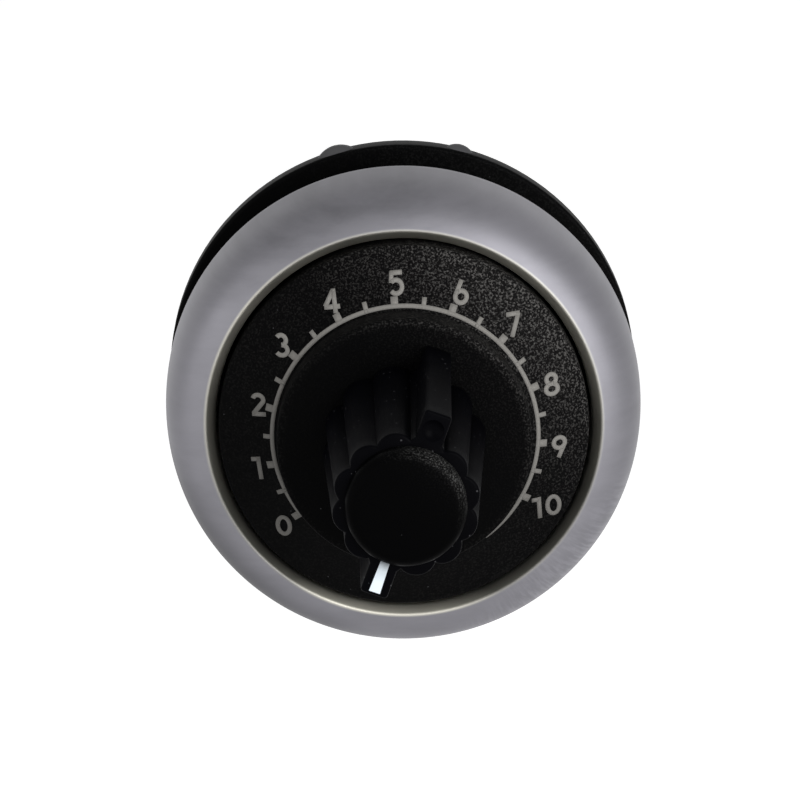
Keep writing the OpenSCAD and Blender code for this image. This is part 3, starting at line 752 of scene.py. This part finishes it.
class CONTROL_OT_knob(bpy.types.Operator):
    """Adds the fluted knob, its cap and the white line of the pointer"""
    bl_idname = "control.knob"
    bl_label = "Knob"

    def execute(self, context):
        settings = context.scene.control_knob
        grip = self.grip(settings)
        cap = self.cap()
        line = self.line(settings)
        plastic = plain_plastic("knob_plastic", tuple(settings.plastic), roughness=0.38,
                                specular=0.014, dust=0.10)
        lay_over(grip, plastic, ROTOR, ["knob_body"], smooth=35.0)
        # Painted highlight: glints on the rim of the cap at the upper right
        grain = grained_black_painted_glints("cap_grain_painted_glints", (0.0006, 0.0006, 0.0007), (0.070, 0.070, 0.068),
                              strength=0.35, size=0.10, roughness=0.40, specular=0.012,
                              reach=CAP_R, inside=0.87, focus=2.2)
        lay_over(cap, grain, ROTOR, ["knob_cap"], smooth=30.0)
        white = painted_line("line_white", tuple(settings.line))
        lay_over(line, white, ROTOR, ["pointer_line"], smooth=0)
        return {"FINISHED"}

    def lobe_reach(self, settings, angle, radius):
        """Distance from the axis to the scalloped outline, for lobes that reach out to radius"""
        half = math.pi / settings.lobes
        valley = radius - settings.valley_depth * radius / settings.base_radius
        centre = (radius ** 2 - valley ** 2) / (2 * (radius - valley * math.cos(half)))
        lobe = radius - centre
        off = (angle - settings.pointer + half) % (2 * half) - half
        return centre * math.cos(off) + math.sqrt(lobe ** 2 - (centre * math.sin(off)) ** 2)

    def contour(self, settings, radius, nose, height):
        """Outline of the knob at one height, with the nose and the rib opposite"""
        half = settings.nose_width / 2
        corner = 0.22 * MM
        points = []
        for i in range(OUTLINE_STEPS):
            angle = math.tau * i / OUTLINE_STEPS
            turn = angle - settings.pointer
            along = abs(math.cos(turn))
            side = abs(math.sin(turn))
            reach = self.lobe_reach(settings, angle, radius)
            if side * nose < (half - corner) * along:
                reach = max(reach, nose / along)
            elif along > 0.5:
                cx, cy = nose - corner, half - corner
                mid = cx * along + cy * side
                inside = mid ** 2 - cx ** 2 - cy ** 2 + corner ** 2
                flank = half / side
                tip = mid + math.sqrt(inside) if inside > 0 else 0
                if flank * along > cx:
                    reach = max(reach, tip)
                else:
                    reach = max(reach, flank)
            points.append((reach / MM * math.cos(angle), reach / MM * math.sin(angle), height))
        return points

    def grip(self, settings):
        """A stack of outlines from the base to the front, closed at both ends"""
        edge = 0.17
        foot = 0.06
        rings = [(KNOB_Z, 0.0, foot), (KNOB_Z + foot, 0.0, 0.0)]
        count = 10
        for i in range(1, count + 1):
            height = KNOB_Z + foot + (FRONT_Z - edge - KNOB_Z - foot) * i / count
            rings.append((height, i / count, 0.0))
        for step in (30, 60, 90):
            rings.append((FRONT_Z - edge + edge * math.sin(math.radians(step)), 1.0,
                          edge * (1 - math.cos(math.radians(step)))))
        loops = []
        for height, share, inwards in rings:
            radius = settings.base_radius + (settings.front_radius - settings.base_radius) * share
            nose = settings.nose_base + (settings.nose_front - settings.nose_base) * share
            points = self.contour(settings, radius, nose, height)
            if inwards:
                points = self.inset(points, inwards)
            loops.append(outline("loop", points))
        piece = join("knob_grip", loops)
        pick(piece)
        edit(bpy.ops.mesh.bridge_edge_loops)
        self.close(piece, KNOB_Z * MM)
        self.close(piece, FRONT_Z * MM)
        mend(piece)
        self.dimple(piece, settings)
        return piece

    def inset(self, points, distance):
        """Moves an outline inwards, square to its own edge"""
        made = []
        for i, (x, y, z) in enumerate(points):
            before, after = points[i - 3], points[(i + 3) % len(points)]
            edge = Vector((after[0] - before[0], after[1] - before[1])).normalized()
            made.append((x - edge.y * distance, y + edge.x * distance, z))
        return made

    def close(self, piece, height):
        """Fills the loop at one height"""
        pick(piece)
        bpy.ops.object.mode_set(mode="EDIT")
        bpy.ops.mesh.select_all(action="DESELECT")
        bpy.ops.object.mode_set(mode="OBJECT")
        for edge in piece.data.edges:
            edge.select = all(abs(piece.data.vertices[v].co.z - height) < 1e-6 for v in edge.vertices)
        bpy.ops.object.mode_set(mode="EDIT")
        bpy.ops.mesh.edge_face_add()
        bpy.ops.object.mode_set(mode="OBJECT")

    def dimple(self, piece, settings):
        """Round dish in the front of the rib"""
        radius, reach, lift = 0.9, 4.72, 0.62
        deselect()
        bpy.ops.mesh.primitive_uv_sphere_add(segments=48, ring_count=24, radius=radius * MM)
        tool = bpy.context.object
        away = settings.pointer + math.pi
        tool.location = (reach * MM * math.cos(away), reach * MM * math.sin(away),
                         (FRONT_Z + lift) * MM)
        pick(tool)
        bpy.ops.object.transform_apply(location=True)
        apply_modifier(piece, "BOOLEAN", operation="DIFFERENCE", object=tool, solver="EXACT")
        bpy.data.objects.remove(tool)

    def cap(self):
        """Round cap with a softly rounded edge"""
        edge = 0.75
        profile = [(0, FRONT_Z - 0.05), (CAP_R, FRONT_Z - 0.05)]
        profile += rounded((CAP_R - edge, CAP_Z - edge), edge, 0, 90, 10)
        profile += [(0, CAP_Z)]
        return turned("cap_dome", profile, steps=128)

    def line(self, settings):
        """Bar on the front of the nose, wider at its outer end"""
        deselect()
        inner, outer, wide, thick = 3.5, 5.60, 0.55, 0.24
        bpy.ops.mesh.primitive_cube_add(size=1.0)
        piece = bpy.context.object
        piece.name = "pointer_mark"
        for vertex in piece.data.vertices:
            vertex.co.y *= 1.25 if vertex.co.x > 0 else 1.0
        turn = Matrix.Rotation(settings.pointer, 4, "Z")
        place = Matrix.Translation(((inner + outer) / 2 * MM, 0, (FRONT_Z - 0.1) * MM))
        size = Matrix.Diagonal(((outer - inner) * MM, wide * MM, thick * MM, 1))
        piece.matrix_world = turn @ place @ size
        bpy.ops.object.transform_apply(location=True, rotation=True, scale=True)
        apply_modifier(piece, "BEVEL", width=0.03 * MM, segments=2)
        return piece


class CONTROL_OT_mount(bpy.types.Operator):
    """Adds the head's body with its threaded barrel, and the ring nut with its lugs"""
    bl_idname = "control.mount"
    bl_label = "Mount"

    def execute(self, context):
        settings = context.scene.control_mount
        # Faint painted glints at the upper right, in the grain of the moulding
        black = grained_black_painted_glints("mount_moulding", (0.0006, 0.0006, 0.0007), (0.006, 0.006, 0.006),
                              strength=0.35, size=0.10, roughness=0.45, specular=0.022)
        lay_over(self.body(settings), black, HEAD, ["head_body"], smooth=30.0)
        lay_over(self.nut(settings), black, HEAD, ["ring_nut"], smooth=30.0)
        # Painted light: the lugs get a lighter grey than the rest of the black ring nut, as lit from
        # above
        grey = plain_plastic("lug_lit_grey", (0.050, 0.050, 0.052), roughness=0.55)
        lay_over(self.lugs(settings), grey, HEAD, smooth=30.0)
        return {"FINISHED"}

    def body(self, settings):
        """Bulkhead, seat, flange and barrel in one profile, with the thread and the key on it"""
        tip, core = settings.thread_radius / MM, settings.core_radius / MM
        profile = [(SHAFT_HOLE_R, FLANGE_Z), (SHAFT_HOLE_R, BULKHEAD_Z), (9.6, BULKHEAD_Z), (9.6, SEAT_Z),
                   (SEAT_R, SEAT_Z), (SEAT_R, FLANGE_Z), (FLANGE_R, FLANGE_Z), (FLANGE_R, SEAL_T),
                   (tip, SEAL_T), (tip, -0.5), (core, -0.9), (core, BARREL_END + 0.5),
                   (core - 0.3, BARREL_END), (BORE_R, BARREL_END), (BORE_R, FLANGE_Z)]
        shell = turned("head_shell", profile, steps=128)
        deselect()
        bpy.ops.mesh.primitive_cube_add(size=1.0, location=(0, 11.55 * MM, 0.15 * MM),
                                        scale=(3.0 * MM, 2.3 * MM, 2.3 * MM))
        key = bpy.context.object
        bpy.ops.object.transform_apply(location=True, rotation=True, scale=True)
        apply_modifier(key, "BEVEL", width=0.1 * MM, segments=2)
        return join("head_shell", [shell, self.thread(settings, tip, core), key])

    def thread(self, settings, tip, core):
        """One ridge wound along the barrel"""
        pitch = settings.pitch / MM
        low = BARREL_END + 0.9
        root = core - 0.2
        foot = 0.58 * pitch / 1.5
        flat = 0.09
        ridge = outline("thread", [(root, 0, low - foot), (tip, 0, low - flat),
                                   (tip, 0, low + flat), (root, 0, low + foot)], fill="NGON")
        turns = int((-0.9 - low) / pitch)
        apply_modifier(ridge, "SCREW", angle=math.tau, screw_offset=settings.pitch,
                       iterations=turns, steps=96, render_steps=96)
        mend(ridge)
        return ridge

    def nut(self, settings):
        """Flange and castellated collar"""
        r = settings.nut_radius / MM
        profile = [(NUT_BORE_R, NUT_FRONT)]
        profile += rounded((r - 0.25, NUT_FRONT - 0.25), 0.25, 90, 0)
        profile += rounded((r - 0.2, NUT_BACK + 0.2), 0.2, 0, -90)
        profile += [(COLLAR_R, NUT_BACK), (COLLAR_R, NUT_BACK - 0.4), (COLLAR_ROOT_R, NUT_BACK - 0.4),
                    (COLLAR_ROOT_R, COLLAR_END + 0.15), (12.05, COLLAR_END), (NUT_BORE_R, COLLAR_END)]
        pieces = [turned("nut", profile, steps=128)]
        tooth = [(12.1, NUT_BACK - 0.3), (COLLAR_R, NUT_BACK - 0.3), (COLLAR_R, COLLAR_END + 0.15),
                 (13.05, COLLAR_END), (12.1, COLLAR_END)]
        for i in range(8):
            pieces.append(swept("tooth", tooth, 22.5 + 45 * i, 34.2, 10))
        return join("nut", pieces)

    def lugs(self, settings):
        """Two pairs of round lugs on the flange; their lighter grey is painted light"""
        pieces = []
        for middle in (90, 270):
            for side, size in ((-15.3, 0.80), (15.5, 1.10)):
                at = math.radians(middle + side) + settings.nut_turn
                pieces.append(self.lug(settings, at, settings.lug_radius * size))
        return join("nut_lugs", pieces)

    def lug(self, settings, at, radius):
        """Round lug that stands out of the flange by about a quarter of its radius"""
        deselect()
        reach = settings.nut_radius + 0.24 * radius - radius
        bpy.ops.mesh.primitive_cylinder_add(vertices=64, radius=radius, depth=1.3 * MM,
                                            location=(reach * math.cos(at), reach * math.sin(at),
                                                      (NUT_FRONT + NUT_BACK) / 2 * MM))
        lug = bpy.context.object
        bpy.ops.object.transform_apply(location=True, rotation=True, scale=True)
        apply_modifier(lug, "BEVEL", width=0.5 * MM, segments=5, limit_method="ANGLE")
        return lug


class CONTROL_OT_finishes(bpy.types.Operator):
    """Gives the pieces that keep the shape of the solid model their finish"""
    bl_idname = "control.finishes"
    bl_label = "Finishes"

    def execute(self, context):
        moulded = bpy.data.materials["mount_moulding"]
        rubber = plain_plastic("seal_rubber", (0.010, 0.010, 0.010), roughness=0.75, specular=0.2)
        brass = bright_metal("brass", (0.58, 0.40, 0.16), 0.32)
        steel = bright_metal("plated_steel", (0.42, 0.42, 0.43), 0.34)
        laminate = plain_plastic("laminate", (0.16, 0.075, 0.030), roughness=0.5)
        carbon = plain_plastic("carbon", (0.012, 0.012, 0.012), roughness=0.6)
        ivory = plain_plastic("carrier_plastic", (0.52, 0.49, 0.40), roughness=0.5)
        finishes = {
            "terminal_block": moulded, "panel_seal": rubber, "shaft_seal": rubber,
            "bushing": brass, "bushing_nut": steel, "lock_washer": steel,
            "element_case": steel, "resistance_disc": laminate, "resistance_track": carbon,
            "collector_ring": steel, "terminal_rivets": brass, "terminal_inserts": brass,
            "lead_start": brass, "lead_wiper": brass, "lead_end": brass,
            "clamp_plates": steel, "terminal_screws": steel, "shaft": steel,
            "retaining_clip": steel, "wiper_carrier": ivory, "wiper": brass,
            "collet": brass, "collet_nut": brass,
        }
        for node, material in finishes.items():
            dress(node, material)
        return {"FINISHED"}


class CONTROL_PT_sidebar(bpy.types.Panel):
    """Lists the operators and the settings in the sidebar"""
    bl_idname = "CONTROL_PT_sidebar"
    bl_label = "Potentiometer"
    bl_space_type = "VIEW_3D"
    bl_region_type = "UI"
    bl_category = "Potentiometer"

    def draw(self, context):
        for operator in OPERATORS:
            self.layout.operator(operator.bl_idname)
        for name, group in GROUPS.items():
            box = self.layout.box()
            for key in group.__annotations__:
                box.prop(getattr(context.scene, name), key)


GROUPS = {"control_stage": StageSettings, "control_bezel": BezelSettings,
          "control_dial": DialSettings, "control_knob": KnobSettings,
          "control_mount": MountSettings}
OPERATORS = (CONTROL_OT_stage, CONTROL_OT_bezel, CONTROL_OT_dial, CONTROL_OT_knob,
             CONTROL_OT_mount, CONTROL_OT_finishes)
CLASSES = (*GROUPS.values(), *OPERATORS, CONTROL_PT_sidebar)


def register():
    for cls in CLASSES:
        bpy.utils.register_class(cls)
    for name, group in GROUPS.items():
        setattr(bpy.types.Scene, name, PointerProperty(type=group))


def unregister():
    for name in GROUPS:
        delattr(bpy.types.Scene, name)
    for cls in reversed(CLASSES):
        bpy.utils.unregister_class(cls)


def main():
    register()
    for operator in OPERATORS:
        group, name = operator.bl_idname.split(".")
        getattr(getattr(bpy.ops, group), name)()


if __name__ == "__main__":
    main()
